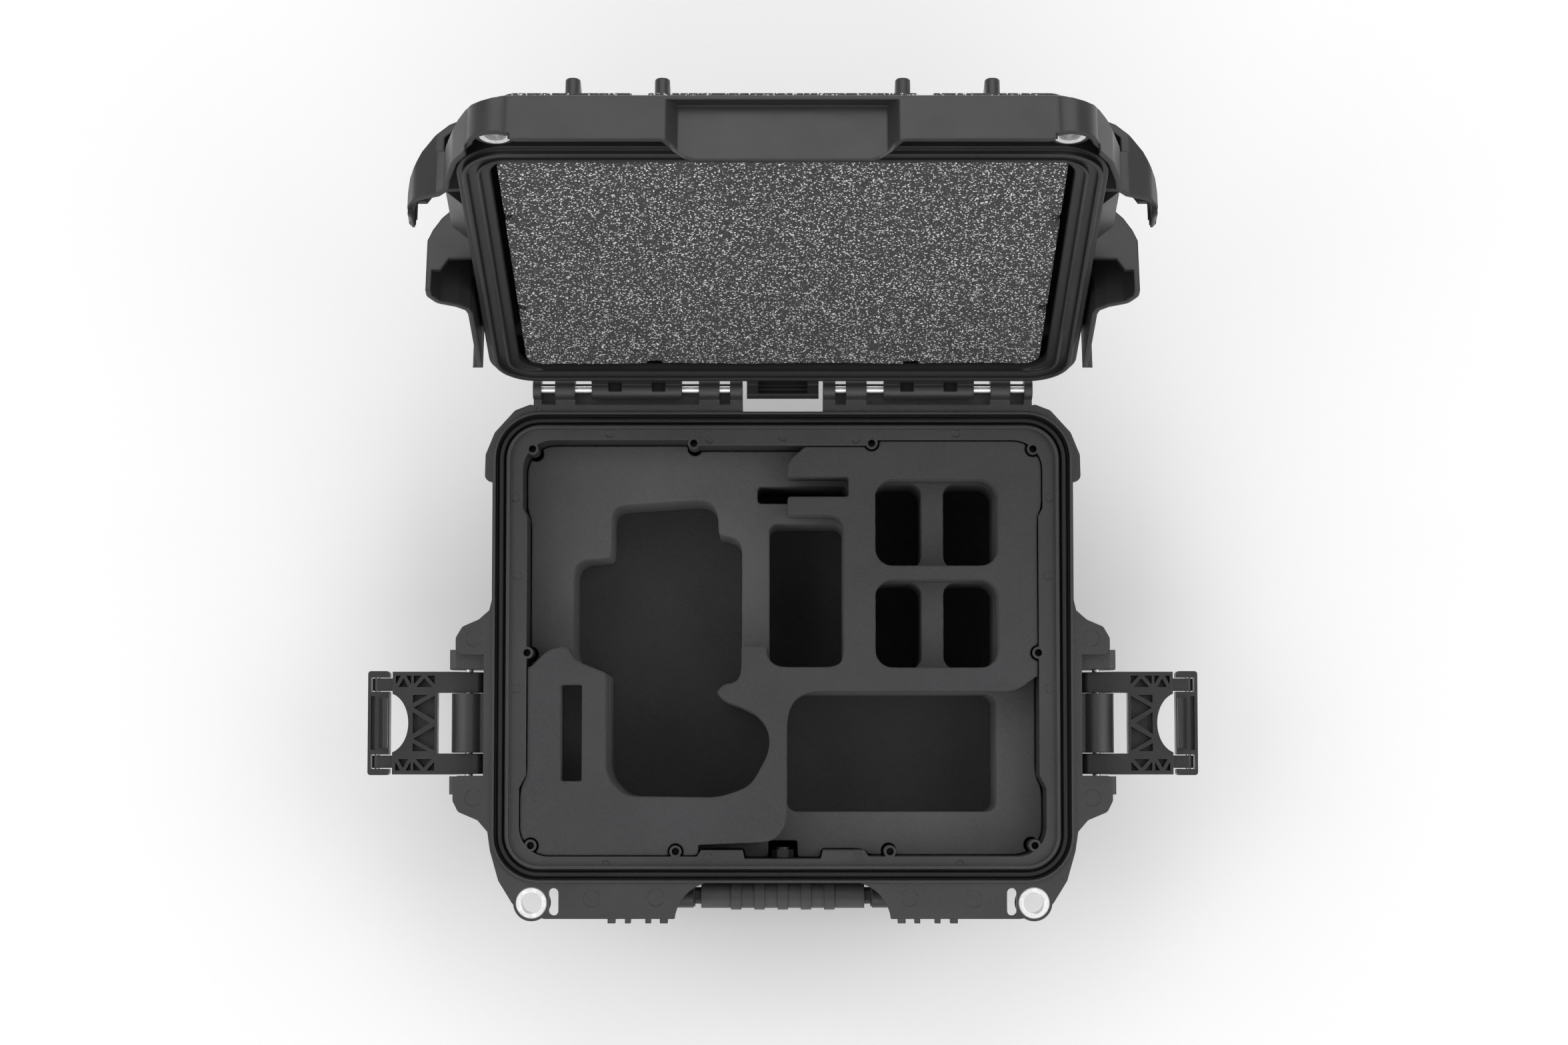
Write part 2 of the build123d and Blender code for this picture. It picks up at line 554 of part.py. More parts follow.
# ================= foam in the base =================
CAMERA_CAVITY = [
    (-100.7, -3.0), (-100.7, 38.5), (-97, 42.8), (-84.7, 43.2), (-82.3, 45.6), (-82.3, 66), (-79, 69.1),
    (-37, 71.9), (-31.4, 66.8), (-30.8, 55.1), (-23.8, 53.6), (-19.6, 50.3), (-19.6, -13.4), (-22.4, -17),
    (-28.6, -18.2), (-31.3, -21.8), (-28.2, -25.4), (-19.9, -28.4), (-11.2, -32.7), (-6.4, -40.5), (-6.4, -50.1),
    (-15.2, -66.2), (-30.6, -71.5), (-75, -70.9), (-83.7, -61), (-83.7, -12.5), (-98.3, -6.7),
]
# the top layer's open corners: upper left and lower right, where the middle layer shows
UPPER_LEFT = [
    (-130, -9.6), (-119, -9.6), (-111.8, -1.7), (-103.1, 0.2), (-100, -3), (-19.9, -13.4), (-19.9, 0.2),
    (-7.9, 0.2), (-7.3, -5.7), (-2.5, -9.8), (25, -9.8), (28.9, -6), (28.9, 58.9), (25, 62.7), (2.3, 62.7),
    (2.3, 71.3), (31.4, 71.3), (31.4, 81), (2.3, 81), (2.3, 88), (10.1, 94.5), (10.1, 110), (-130, 110),
]
LOWER_RIGHT = [
    (130, -12), (119.7, -14.4), (110.6, -21.2), (13, -21.2), (5.2, -25), (2, -33.6), (2, -84), (-4.4, -92.3),
    (-40, -93.7), (-40, -110), (130, -110),
]
POCKET_ROWS = [(38.4, 79.8), (-10.0, 31.9)]
POCKET_X = (44.0, 102.2)
DIVIDER_X = (66.6, 77.3)
TRAY = (1.9, 102.4, -78.4, -21.6)
TALL = (-6.4, 28.9, -9.8, 60.2)
SLIM = (-12.2, 31.4, 69.8, 78.2)
CUT_SLOT = (-105.0, -95.1, -63.7, -18.1)


def corner_box(x0, x1, y0, y1, radius):
    with Locations(((x0 + x1) / 2, (y0 + y1) / 2)):
        RectangleRounded(x1 - x0, y1 - y0, radius)


with BuildPart() as foam_bottom_sheet:
    with BuildSketch(Plane.XY.offset(FLOOR_T)):
        add(cavity_outline(FOAM_GAP))
    extrude(amount=SHEET_TOP - FLOOR_T)
finish(foam_bottom_sheet.part, "foam_bottom_sheet")

with BuildPart() as foam_mid_layer:
    with BuildSketch(Plane.XY.offset(SHEET_TOP)):
        add(cavity_outline(FOAM_GAP))
        with BuildLine():
            Polyline(*CAMERA_CAVITY, close=True)
        make_face(mode=Mode.SUBTRACT)
    extrude(amount=MID_TOP - SHEET_TOP)
    with BuildSketch(Plane.XY.offset(SHEET_TOP)):
        corner_box(*TRAY, 5)
        corner_box(*TALL, 4)
        corner_box(*SLIM, 2)
        for low_y, high_y in POCKET_ROWS:
            corner_box(POCKET_X[0], DIVIDER_X[0], low_y, high_y, 6)
            corner_box(DIVIDER_X[1], POCKET_X[1], low_y, high_y, 6)
    extrude(amount=MID_TOP - SHEET_TOP, mode=Mode.SUBTRACT)
    # room for the screw bosses and the valve nut
    with BuildSketch(Plane.XY.offset(MID_TOP - 12)):
        with Locations(*bosses):
            Circle(BOSS_R + 0.8)
        with Locations((0, -97)):
            Rectangle(14, 10)
    extrude(amount=30, mode=Mode.SUBTRACT)
finish(foam_mid_layer.part, "foam_mid_layer")

with BuildPart() as foam_top_layer:
    with BuildSketch(Plane.XY.offset(MID_TOP)):
        add(cavity_outline(FOAM_GAP))
    extrude(amount=TOP_TOP - MID_TOP)
    for opening in (CAMERA_CAVITY, UPPER_LEFT, LOWER_RIGHT):
        with BuildSketch(Plane.XY.offset(MID_TOP)):
            with BuildLine():
                Polyline(*opening, close=True)
            make_face()
        extrude(amount=TOP_TOP - MID_TOP, mode=Mode.SUBTRACT)
    with BuildSketch(Plane.XY.offset(MID_TOP)):
        for low_y, high_y in POCKET_ROWS:
            corner_box(*POCKET_X, low_y, high_y, 8.2)
        corner_box(*CUT_SLOT, 1)
        with Locations(*bosses):
            Circle(BOSS_R + 0.8)
    extrude(amount=TOP_TOP - MID_TOP, mode=Mode.SUBTRACT)
finish(foam_top_layer.part, "foam_top_layer")


# ================= lid =================
def outside(points, inset, front, back, slope=0.0):
    """Everything beyond the lid's side elevation between two Y positions; a slope lowers it forwards."""
    edge = [(x - inset, RIM + z - inset) for x, z in points]
    with BuildPart() as waste:
        with BuildSketch(Plane.XZ.offset(-back)):
            with BuildLine():
                Polyline(*edge, (180, edge[-1][1]), (180, RIM + 90), (edge[0][0], RIM + 90), close=True)
            make_face()
            mirror(about=Plane.YZ)
        extrude(amount=(back - front) * hypot(1, slope), dir=(0, -1, -slope))
    return waste.part


def brim(grow, inset):
    """Solid over the flange with its brow, shoulders and ears; an inset draws the inner surface."""
    with BuildPart() as solid:
        with BuildSketch(Plane.XY.offset(RIM + SIDE_SKIRT_LOW - inset)):
            add(flange_outline(grow))
            with Locations(*both_sides([PADLOCK])):
                Circle(LUG_R + grow)
            with Locations((0, BRIM_BACK + 100)):
                Rectangle(400, 200, mode=Mode.SUBTRACT)
            with Locations((0, (BAY[0] + BAY[1]) / 2)):
                Rectangle(400, BAY[1] - BAY[0], mode=Mode.SUBTRACT)
        extrude(amount=LID_ROOF - SIDE_SKIRT_LOW)
        add(outside(CORNER, inset, FRONT_LIMIT, EAR_FRONT, BROW_SLOPE), mode=Mode.SUBTRACT)
        add(outside(FRONT_EAR, inset, EAR_FRONT, LATCH_MID), mode=Mode.SUBTRACT)
        add(outside(REAR_EAR, inset, LATCH_MID, EAR_BACK), mode=Mode.SUBTRACT)
        add(outside(SIDE_STRIP, inset, EAR_BACK, 100), mode=Mode.SUBTRACT)
        with BuildSketch(Plane.YZ):
            with BuildLine():
                Polyline((-150, RIM + BROW - 18.4 * BROW_SLOPE - inset),
                         (-100, RIM + BROW + 31.6 * BROW_SLOPE - inset),
                         (-88, RIM + LID_ROOF - inset), (-88, RIM + 90), (-150, RIM + 90), close=True)
            make_face()
        extrude(amount=200, both=True, mode=Mode.SUBTRACT)
    return solid.part


def lid_body(wall, bottom):
    """The lid's main box and its bevelled roof, from a bottom height; a wall draws the inner surface."""
    with BuildPart() as solid:
        with BuildSketch(Plane.XY.offset(RIM + bottom)):
            RectangleRounded(2 * (LID_X - wall), 2 * (LID_Y - wall), RIM_R - wall)
        extrude(amount=LID_BEVELS[0][0] - wall - bottom)
        drawn_in = wall
        for low, high, slope in LID_BEVELS:
            with BuildSketch(Plane.XY.offset(RIM + low - wall)):
                RectangleRounded(2 * (LID_X - drawn_in), 2 * (LID_Y - drawn_in), RIM_R - drawn_in)
            extrude(amount=high - low, taper=slope)
            drawn_in += (high - low) * tan(radians(slope))
    return solid.part


outer_brim = brim(SKIRT_GAP + SKIRT_T, 0)

# apron over the handle bay, and the recess in front of it
with BuildPart() as apron:
    with BuildSketch(Plane.XZ.offset(-APRON_BACK)):
        with BuildLine():
            Polyline((0, RIM + BROW), (50.8, RIM + BROW), (50.8, RIM + SKIRT_LOW), (46, RIM + SKIRT_LOW - 0.8),
                     (40, RIM + APRON_LOW + 1.4), (36, RIM + APRON_LOW), (0, RIM + APRON_LOW), close=True)
        make_face()
        mirror(about=Plane.YZ)
    extrude(amount=APRON_BACK + FRONT)
    with BuildSketch(Plane.XY.offset(RIM - 30)):
        with BuildLine():
            Polyline((45, APRON_BACK + 1), (45, APRON_BACK), (50.9, -FRONT), (60, -FRONT), (60, APRON_BACK + 1),
                     close=True)
        make_face()
        mirror(about=Plane.YZ)
    extrude(amount=60, mode=Mode.SUBTRACT)

# lugs round the padlock holes
with BuildPart() as lock_lugs:
    with BuildSketch(Plane.XY.offset(RIM + LOCK_LOW)):
        with Locations(*both_sides([PADLOCK])):
            Circle(LOCK_TUBE_R)
    extrude(amount=40)
    add(outer_brim, mode=Mode.INTERSECT)

# end walls of the ears, facing the latch
with BuildPart() as ear_walls:
    for front in (BAY[0] - SKIRT_T, BAY[1]):
        with BuildSketch(Plane.XZ.offset(-front - SKIRT_T)):
            with BuildLine():
                Polyline((130, RIM + 6.6), (148, RIM + 6), (151.8, RIM + 0.3), (156.2, RIM + 0.3),
                         (156.2, RIM + SIDE_SKIRT_LOW), (170, RIM + SIDE_SKIRT_LOW), (170, RIM + 60),
                         (130, RIM + 60), close=True)
            make_face()
            mirror(about=Plane.YZ)
        extrude(amount=SKIRT_T)
    add(outer_brim, mode=Mode.INTERSECT)

with BuildPart() as lid_shell:
    add(outer_brim)
    add(brim(SKIRT_GAP, SKIRT_T), mode=Mode.SUBTRACT)
    with Locations((0, LATCH_MID - 100, RIM + SKIRT_LOW - 10)):
        Box(400, 200, 20, mode=Mode.SUBTRACT)
    add(ear_walls.part)
    add(apron.part)
    with BuildSketch(Plane.XY.offset(RIM + APRON_LOW - 1)):
        with BuildLine():
            Polyline((-43, RECESS_Y), (43, RECESS_Y), (48, -FRONT), (48, -140), (-48, -140), (-48, -FRONT), close=True)
        make_face()
    extrude(amount=BROW - APRON_LOW - 0.4, mode=Mode.SUBTRACT)

    # cheeks of the front ears
    with BuildSketch(Plane.XZ.offset(-BAY[0])):
        with BuildLine():
            Polyline((156.6, RIM - 5), (159, RIM - 5), (159, RIM + CHEEK_LOW + 1.6), (157.6, RIM + CHEEK_LOW),
                     (156.6, RIM + CHEEK_LOW), close=True)
        make_face()
        mirror(about=Plane.YZ)
    extrude(amount=9)

    # padlock lugs, clear of those of the base and open above
    with BuildSketch(Plane.XY.offset(RIM + LOCK_ARCH)):
        with Locations(*both_sides([PADLOCK])):
            Circle(LUG_R + SKIRT_GAP + SKIRT_T + 0.4)
    extrude(amount=-20, mode=Mode.SUBTRACT)
    add(lock_lugs.part)
    with BuildSketch(Plane.XY.offset(RIM + LOCK_TOP)):
        with Locations(*both_sides([PADLOCK])):
            Circle(LOCK_BORE_R)
    extrude(amount=40, mode=Mode.SUBTRACT)
    with BuildSketch(Plane.XY.offset(RIM + LOCK_LOW - 1)):
        with Locations(*both_sides([PADLOCK])):
            Circle(TUBE_R + 0.05)
    extrude(amount=20, mode=Mode.SUBTRACT)

    # main box, and the bars it stands on when the case lies on its lid
    add(lid_body(0, LID_SEAM))
    with BuildSketch(Plane.XY.offset(RIM + LID_ROOF - 4)):
        for middle in (-89, -51, 51, 89):
            with Locations((middle, 0)):
                RectangleRounded(6.4, 186, 3)
    extrude(amount=LID_TOP - LID_ROOF + 4)

    # hollow inside, behind a lip that frames the foam
    with BuildSketch(Plane.XY.offset(RIM)):
        RectangleRounded(2 * 123, 2 * 101.6, 14)
    extrude(amount=LID_LIP, mode=Mode.SUBTRACT)
    add(lid_body(WALL, LID_LIP), mode=Mode.SUBTRACT)

    # tongue that presses on the gasket, and the inner rim
    with BuildSketch(Plane.XY.offset(RIM + LID_SEAM)):
        rim_ring(2.8, 5.0)
    extrude(amount=-2.3)
    with BuildSketch(Plane.XY.offset(RIM + LID_SEAM)):
        rim_ring(9.0, 10.4)
    extrude(amount=-1.8)

    # ledges that the latch claws catch
    with BuildSketch(Plane.XZ.offset(-(LATCH_MID + 16))):
        with BuildLine():
            Polyline((135, RIM + LEDGE_TOP), (LEDGE_X, RIM + LEDGE_TOP), (LEDGE_X, RIM + LEDGE_TOP - LEDGE_T),
                     (135, RIM + 3), close=True)
        make_face()
        mirror(about=Plane.YZ)
    extrude(amount=32)

    # hinge knuckles, and the block between the hinges
    knuckle_w = LID_KNUCKLE[1] - LID_KNUCKLE[0] - 2 * GAP
    for start in (LID_KNUCKLE[0] + GAP, -LID_KNUCKLE[1] + GAP):
        extrude(lid_knuckle.sketch.moved(Location((start, 0, 0))), amount=knuckle_w)
    with BuildSketch(Plane.YZ) as lid_block:
        with BuildLine():
            Polyline((109, RIM + GAP), (117.2, RIM + GAP), (117.2, RIM - 5.2), (121.4, RIM - 5.2),
                     (125.4, RIM - 1.5), (125.4, RIM + 5), (120, RIM + 13), (109, RIM + 18), close=True)
        make_face()
    extrude(amount=17, both=True)
    with BuildSketch(Plane.YZ):
        with BuildLine():
            Polyline((112.4, RIM), (116, RIM - 4), (121.6, RIM - 4), (121.6, RIM + 6), (112.4, RIM + 6), close=True)
        make_face()
    extrude(amount=11.6, both=True, mode=Mode.SUBTRACT)
    for middle in KNUCKLE_NOTCHES:
        with Locations((middle, 117.4, RIM + 0.8), (-middle, 117.4, RIM + 0.8)):
            Box(NOTCH_W, 4, 6.6, mode=Mode.SUBTRACT)
    with BuildSketch(Plane.YZ):
        with Locations((HINGE_Y, RIM)):
            Circle(PIN_R + PIN_FIT)
    extrude(amount=120, both=True, mode=Mode.SUBTRACT)
finish(swing_open(lid_shell.part), "lid_shell")

with BuildPart() as lid_foam:
    with BuildSketch(Plane.XY.offset(RIM + 1)):
        with Locations((0, -1)):
            RectangleRounded(LID_FOAM[0], LID_FOAM[1], 8)
        with Locations(*both_sides([(60, 98), (60, -100), (120, 40), (120, -46)])):
            Rectangle(7, 5, mode=Mode.SUBTRACT)
    extrude(amount=21)
    with BuildSketch(Plane.XY.offset(RIM + 22)):
        with Locations((0, -1)):
            RectangleRounded(LID_FOAM[0] - 10, LID_FOAM[1] - 10, 12)
    extrude(amount=10.4, taper=48)
finish(swing_open(lid_foam.part), "lid_foam")
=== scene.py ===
import json
import math
import random

import bpy
import numpy as np
from mathutils import Matrix, Vector, noise
from mathutils.geometry import delaunay_2d_cdt


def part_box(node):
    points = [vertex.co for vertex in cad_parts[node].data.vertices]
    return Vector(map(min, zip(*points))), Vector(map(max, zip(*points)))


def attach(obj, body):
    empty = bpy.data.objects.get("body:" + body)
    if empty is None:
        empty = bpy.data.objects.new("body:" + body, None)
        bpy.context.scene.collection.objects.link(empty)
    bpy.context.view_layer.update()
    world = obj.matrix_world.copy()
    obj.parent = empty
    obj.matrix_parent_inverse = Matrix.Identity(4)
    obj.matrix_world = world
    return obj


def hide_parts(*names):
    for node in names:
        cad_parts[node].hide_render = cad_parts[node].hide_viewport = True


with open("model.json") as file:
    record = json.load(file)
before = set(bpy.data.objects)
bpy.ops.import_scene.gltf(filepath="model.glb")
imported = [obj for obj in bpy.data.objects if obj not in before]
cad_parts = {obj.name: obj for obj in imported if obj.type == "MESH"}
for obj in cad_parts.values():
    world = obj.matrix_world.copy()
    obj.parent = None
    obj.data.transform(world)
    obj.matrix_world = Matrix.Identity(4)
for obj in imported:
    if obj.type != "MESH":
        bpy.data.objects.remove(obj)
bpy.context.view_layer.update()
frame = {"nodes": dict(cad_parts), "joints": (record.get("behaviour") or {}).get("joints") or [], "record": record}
nodes = frame["nodes"]
RNG = random.Random(11)

MM = 0.001
KNUCKLE_RISE = 4.6 * MM  # the hinge knuckles stand this far above the parting plane
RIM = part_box("base_shell")[1].z - KNUCKLE_RISE


# ---------------- material helpers ----------------
class Shader:
    """A node tree with its Principled shader, and short ways to add what feeds it."""

    def __init__(self, name, colour, roughness, metallic=0.0, specular=0.5):
        self.material = bpy.data.materials.new(name)
        self.material.use_nodes = True
        self.tree = self.material.node_tree
        self.surface = self.tree.nodes["Principled BSDF"]
        self.surface.inputs["Base Color"].default_value = (*colour, 1)
        self.surface.inputs["Roughness"].default_value = roughness
        self.surface.inputs["Metallic"].default_value = metallic
        self.surface.inputs["Specular IOR Level"].default_value = specular
        self.coords = self.add("ShaderNodeTexCoord").outputs["Object"]
        self.normal = None

    def add(self, kind, **settings):
        node = self.tree.nodes.new(kind)
        for key, value in settings.items():
            setattr(node, key, value)
        return node

    def link(self, source, target):
        self.tree.links.new(source, target)

    def stretched(self, scale):
        mapping = self.add("ShaderNodeMapping")
        mapping.inputs["Scale"].default_value = scale
        self.link(self.coords, mapping.inputs["Vector"])
        return mapping.outputs["Vector"]

    def noise(self, scale, detail=3.0, rough=0.55, vector=None):
        node = self.add("ShaderNodeTexNoise")
        node.inputs["Scale"].default_value = scale
        node.inputs["Detail"].default_value = detail
        node.inputs["Roughness"].default_value = rough
        self.link(vector or self.coords, node.inputs["Vector"])
        return node.outputs["Fac"]

    def cells(self, scale, feature="F1", output="Distance", vector=None):
        node = self.add("ShaderNodeTexVoronoi", feature=feature)
        node.inputs["Scale"].default_value = scale
        self.link(vector or self.coords, node.inputs["Vector"])
        return node.outputs[output]

    def spread(self, value, low, high, to_low, to_high):
        node = self.add("ShaderNodeMapRange", clamp=True)
        sockets = ("From Min", "From Max", "To Min", "To Max")
        for socket, number in zip(sockets, (low, high, to_low, to_high)):
            node.inputs[socket].default_value = number
        self.link(value, node.inputs["Value"])
        return node.outputs["Result"]

    def blend(self, factor, first, second):
        """Mix two colours, each a socket or a colour, by a factor."""
        node = self.add("ShaderNodeMix", data_type="RGBA")
        self.link(factor, node.inputs["Factor"])
        for socket, value in ((node.inputs[6], first), (node.inputs[7], second)):
            if isinstance(value, tuple):
                socket.default_value = (*value, 1)
            else:
                self.link(value, socket)
        return node.outputs[2]

    def round_edges(self, radius):
        """Softens edges in shading, as a mould's small radii do."""
        node = self.add("ShaderNodeBevel", samples=4)
        node.inputs["Radius"].default_value = radius
        self.normal = node.outputs["Normal"]

    def bump(self, height, distance, strength=1.0):
        node = self.add("ShaderNodeBump")
        node.inputs["Distance"].default_value = distance
        node.inputs["Strength"].default_value = strength
        self.link(height, node.inputs["Height"])
        if self.normal:
            self.link(self.normal, node.inputs["Normal"])
        self.normal = node.outputs["Normal"]

    def colour(self, socket):
        self.link(socket, self.surface.inputs["Base Color"])

    def roughness(self, socket):
        self.link(socket, self.surface.inputs["Roughness"])

    def done(self):
        if self.normal:
            self.link(self.normal, self.surface.inputs["Normal"])
        return self.material


def tint(colour, factor):
    return tuple(min(1.0, channel * factor) for channel in colour)


def moulded_plastic(name, colour, roughness, grain=1.0, wear=0.12, edge=0.0006):
    """Textured injection-moulded plastic: fine spark grain, faint flow marks, dusty scuffs."""
    shader = Shader(name, colour, roughness, specular=0.45)
    shader.round_edges(edge)
    flow = shader.noise(9, 4, 0.6)
    dust = shader.noise(55, 6, 0.7)
    base = shader.blend(shader.spread(flow, 0.35, 0.65, 0, 1), tint(colour, 0.84), tint(colour, 1.14))
    scuffed = shader.blend(shader.spread(dust, 0.62, 0.78, 0, wear), base, tint(colour, 3.0))
    shader.colour(scuffed)
    shader.roughness(shader.spread(shader.noise(30, 5, 0.65), 0.3, 0.7, roughness - 0.07, roughness + 0.09))
    shader.bump(shader.cells(2300), 0.00006 * grain)
    shader.bump(shader.noise(900, 2), 0.00010 * grain)
    shader.bump(shader.noise(14, 2), 0.0006, 0.25)
    return shader.done()


def cut_foam(name, colour, depth=1.0):
    """Closed-cell foam with a fine, dry, matt skin of tiny cells."""
    shader = Shader(name, colour, 0.93, specular=0.16)
    shader.round_edges(0.0009)
    patch = shader.noise(24, 4, 0.6)
    fine = shader.noise(1500, 3, 0.7)
    base = shader.blend(shader.spread(patch, 0.35, 0.65, 0, 1), tint(colour, 0.88), tint(colour, 1.1))
    shader.colour(shader.blend(shader.spread(fine, 0.3, 0.75, 0, 0.55), base, tint(colour, 1.7)))
    shader.roughness(shader.spread(patch, 0.3, 0.7, 0.88, 0.98))
    shader.bump(shader.cells(1700), 0.00016 * depth)
    shader.bump(fine, 0.00022 * depth)
    shader.surface.inputs["Sheen Weight"].default_value = 0.08
    shader.surface.inputs["Sheen Roughness"].default_value = 0.6
    return shader.done()


def open_foam(name, colour):
    """Open-cell foam: a mottle of dark pores and pale struts that catch the light as specks."""
    shader = Shader(name, colour, 0.9, specular=0.25)
    pores = shader.cells(1300)
    mottle = shader.noise(1400, 3, 0.7)
    slow = shader.noise(30, 3, 0.6)
    base = shader.blend(shader.spread(mottle, 0.36, 0.64, 0, 1), tint(colour, 0.55), tint(colour, 1.40))
    shaded = shader.blend(shader.spread(slow, 0.35, 0.65, 0, 0.25), base, tint(colour, 0.6))
    struts = shader.spread(shader.cells(2300, output="Color"), 0.64, 0.74, 0, 0.5)
    faint = shader.blend(struts, shaded, tint(colour, 2.2))
    bright = shader.spread(shader.cells(1700, output="Color"), 0.76, 0.80, 0, 1)
    shader.colour(shader.blend(bright, faint, (0.80, 0.80, 0.81)))
    shader.roughness(shader.spread(mottle, 0.3, 0.7, 0.8, 0.97))
    shader.bump(pores, 0.0003)
    shader.bump(mottle, 0.0002)
    return shader.done()


def brushed_steel(name, colour, roughness):
    shader = Shader(name, colour, roughness, metallic=0.6)
    shader.round_edges(0.0003)
    streaks = shader.noise(700, 3, 0.6, shader.stretched((1, 1, 14)))
    shader.colour(shader.blend(shader.spread(streaks, 0.3, 0.7, 0, 1), tint(colour, 0.93), tint(colour, 1.06)))
    shader.roughness(shader.spread(shader.noise(400, 3), 0.3, 0.7, roughness - 0.08, roughness + 0.12))
    shader.bump(streaks, 0.00002)
    return shader.done()


def soft_rubber(name, colour, roughness):
    shader = Shader(name, colour, roughness, specular=0.3)
    shader.round_edges(0.0007)
    fine = shader.noise(1300, 3, 0.6)
    patch = shader.noise(40, 4, 0.6)
    shader.colour(shader.blend(shader.spread(patch, 0.35, 0.7, 0, 1), tint(colour, 0.85), tint(colour, 1.2)))
    shader.roughness(shader.spread(patch, 0.3, 0.7, roughness - 0.08, roughness + 0.08))
    shader.bump(fine, 0.00008)
    return shader.done()


MATERIALS = {
    "case_plastic": moulded_plastic("case_plastic", (0.028, 0.028, 0.0295), 0.34, edge=0.0011),
    "lid_plastic": moulded_plastic("lid_plastic", (0.021, 0.021, 0.022), 0.34, 0.35, edge=0.0011),
    "latch_plastic": moulded_plastic("latch_plastic", (0.018, 0.018, 0.019), 0.30, 0.5, 0.08),
    "handle_plastic": moulded_plastic("handle_plastic", (0.024, 0.024, 0.025), 0.42, 0.8),
    "valve_plastic": moulded_plastic("valve_plastic", (0.018, 0.018, 0.019), 0.38, 0.5),
    "grip_rubber": soft_rubber("grip_rubber", (0.068, 0.068, 0.070), 0.55),
    "seal_rubber": soft_rubber("seal_rubber", (0.008, 0.008, 0.008), 0.36),
    "foam_floor": cut_foam("foam_floor", (0.050, 0.050, 0.051)),
    "foam_mid": cut_foam("foam_mid", (0.066, 0.066, 0.068), depth=0.7),
    "foam_top": cut_foam("foam_top", (0.044, 0.044, 0.046)),
    "foam_lid": open_foam("foam_lid", (0.055, 0.055, 0.056)),
    "steel": brushed_steel("steel", (0.95, 0.95, 0.96), 0.26),
}


def dress(piece, slot):
    piece.data.materials.clear()
    piece.data.materials.append(MATERIALS[slot])


# ---------------- the CAD nodes that keep their shape ----------------
SLOT_OF = {entry["node"]: entry["material_slot"] for entry in frame["record"]["subparts"]}
for node_name, node in nodes.items():
    dress(node, SLOT_OF[node_name])


# ---------------- foam ----------------
HINGE = next(joint for joint in frame["joints"] if joint["name"] == "lid_hinge")
HINGE_POINT = Vector(HINGE["pos_m"])
CLOSE_LID = (
    Matrix.Translation(HINGE_POINT) @ Matrix.Rotation(math.radians(HINGE["range_deg"][1]), 4, "X")
    @ Matrix.Translation(-HINGE_POINT)
)
SAME_PLACE = Matrix.Identity(4)
LEVEL_SLACK = 0.02 * MM  # corners this close to a foam's face belong to it
GENTLE_TURN = math.radians(14)  # corners gentler than this belong to a curve already
SHARP_TURN = math.radians(62)
BLUNT_CORNER = (0.45, 6 * MM)  # share of each neighbouring stretch, and the most of it
SHARP_CORNER = (0.20, 1.5 * MM)
CORNER_STEPS = 5
EDGE_STEPS = 4  # rings round a cut edge
WALL_STEP = 6 * MM
CUT_MARKS = (0.10 * MM, 420, 4)  # size, scale and seed of the cutting lines on the walls
SWELL_PATTERN = (28, 3)  # scale and seed of the slow unevenness, then of the close one
FINE_PATTERN = (330, 6)
JITTER = 0.25  # share of the grid by which its free points are moved


def outline_loops(node_name, placed, upward):
    """Closed outlines of a foam solid's flat top, or underside, with the material on the left."""
    mesh = nodes[node_name].data
    mesh.calc_loop_triangles()
    points = [placed @ vertex.co for vertex in mesh.vertices]
    levels = [point.z for point in points]
    level = max(levels) if upward else min(levels)
    follows = {}
    for triangle in mesh.loop_triangles:
        corners = [points[index] for index in triangle.vertices]
        if all(abs(corner.z - level) < LEVEL_SLACK for corner in corners):
            keys = [(round(corner.x * 1e6), round(corner.y * 1e6)) for corner in corners]
            for start, end in zip(keys, keys[1:] + keys[:1]):
                if (end, start) in follows:
                    del follows[end, start]
                else:
                    follows[start, end] = True
    next_of = dict(follows.keys())
    loops = []
    while next_of:
        start, here = next_of.popitem()
        loop = [start]
        while here != start:
            loop.append(here)
            here = next_of.pop(here)
        loops.append([Vector((x * 1e-6, y * 1e-6)) for x, y in loop])
    return loops, level


def softened(loop):
    """The outline with its corners rounded: blunt corners widely, sharp ones only a little."""
    result = []
    for before, here, after in zip(loop[-1:] + loop[:-1], loop, loop[1:] + loop[:1]):
        back, ahead = before - here, after - here
        turn = math.pi - back.angle(ahead)
        if turn < GENTLE_TURN:
            result.append(here)
            continue
        share, reach = BLUNT_CORNER if turn < SHARP_TURN else SHARP_CORNER
        start = here + back * min(share, reach / back.length)
        end = here + ahead * min(share, reach / ahead.length)
        for step in range(CORNER_STEPS + 1):
            along = step / CORNER_STEPS
            result.append(start.lerp(here, along).lerp(here.lerp(end, along), along))
    return result


def resampled(loop, spacing):
    """The outline with its long stretches divided, so that the surface can bend along them."""
    result = []
    for start, end in zip(loop, loop[1:] + loop[:1]):
        steps = max(1, round((end - start).length / spacing))
        result += [start.lerp(end, step / steps) for step in range(steps)]
    return result


def inward_normals(loop):
    """Unit directions into the material at each point, lengthened a little at corners."""
    normals = []
    for before, here, after in zip(loop[-1:] + loop[:-1], loop, loop[1:] + loop[:1]):
        first, second = (here - before).normalized(), (after - here).normalized()
        left = Vector((-first.y, first.x)) + Vector((-second.y, second.x))
        left = left.normalized() if left.length > 1e-6 else Vector((-first.y, first.x))
        stretch = max(0.55, left.dot(Vector((-first.y, first.x))))
        normals.append(left / stretch)
    return normals


def ripple(x, y, z, size, scale, seed):
    return size * noise.noise(Vector((x * scale + seed, y * scale - seed, z * scale + 2 * seed)))


